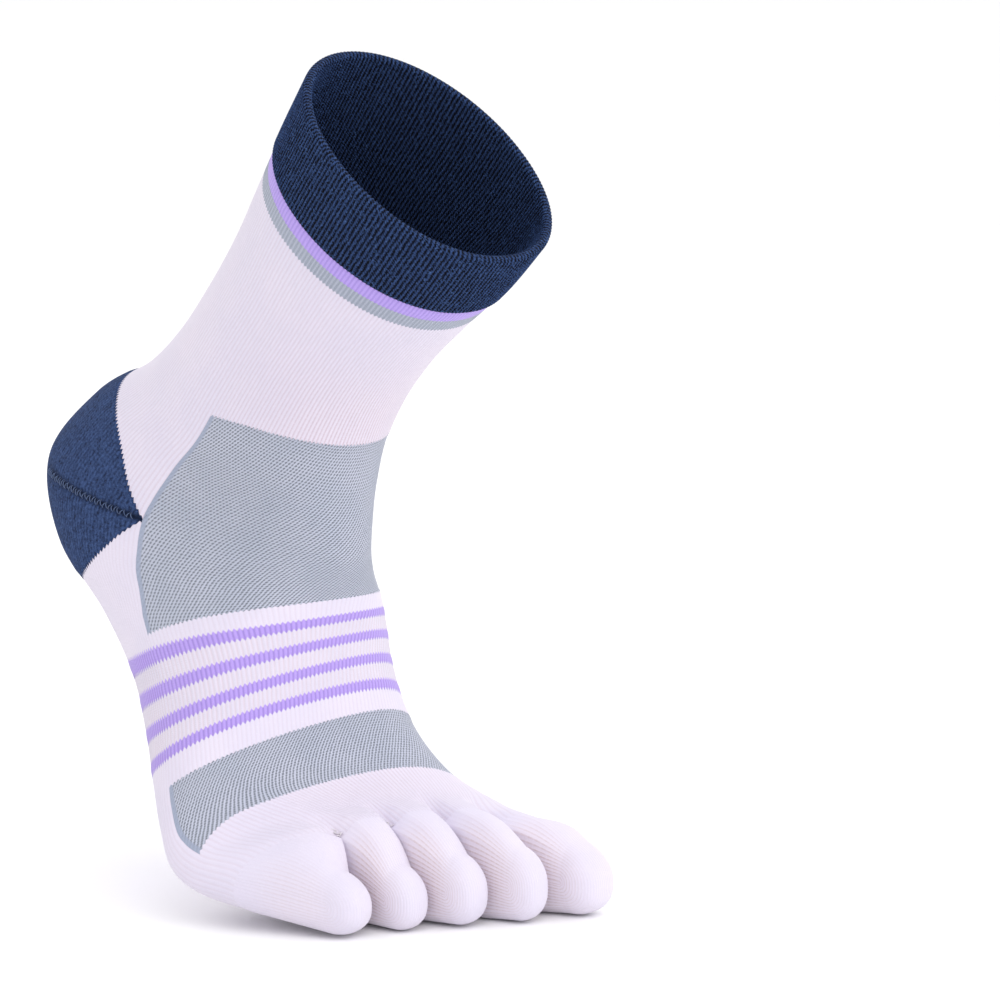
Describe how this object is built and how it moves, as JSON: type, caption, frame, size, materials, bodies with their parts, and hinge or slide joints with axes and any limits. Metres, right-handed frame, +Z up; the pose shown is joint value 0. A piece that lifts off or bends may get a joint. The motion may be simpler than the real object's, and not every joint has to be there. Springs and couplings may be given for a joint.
{
  "type": "toe sock",
  "caption": "Crew-height toe sock with ribbed cuff, separate toe pockets, reinforced heel, mesh instep panels and a striped elastic arch band; worn on a right foot on tiptoe.",
  "frame": {"origin": "centre of the cuff's mouth, where the leg goes in", "axes": "+Z up, +X level towards the toes, +Y towards the big-toe side; the sock stands on its toes and ball as worn on a foot on tiptoe, and the mouth's axis leans forwards and up"},
  "size_m": [0.1798, 0.1021, 0.2401],
  "materials": {
    "navy_rib": "matte",
    "navy_terry": "matte",
    "violet_knit": "matte",
    "grey_knit": "matte",
    "grey_mesh": "matte",
    "lilac_white_knit": "matte"
  },
  "bodies": {
    "root": {"cuff": "navy_rib", "cuff_violet_band": "violet_knit", "cuff_grey_band": "grey_knit", "leg": "lilac_white_knit", "heel": "navy_terry", "instep_mesh": "grey_mesh", "sole": "lilac_white_knit", "arch_stripe_1": "violet_knit", "arch_stripe_2": "violet_knit", "arch_stripe_3": "violet_knit", "arch_stripe_4": "violet_knit", "arch_band_1": "lilac_white_knit", "arch_band_2": "lilac_white_knit", "arch_band_3": "lilac_white_knit", "forefoot": "lilac_white_knit", "forefoot_mesh": "grey_mesh", "little_toe": "lilac_white_knit", "fourth_toe": "lilac_white_knit", "third_toe": "lilac_white_knit", "second_toe": "lilac_white_knit", "big_toe": "lilac_white_knit"}
  },
  "joints": []
}
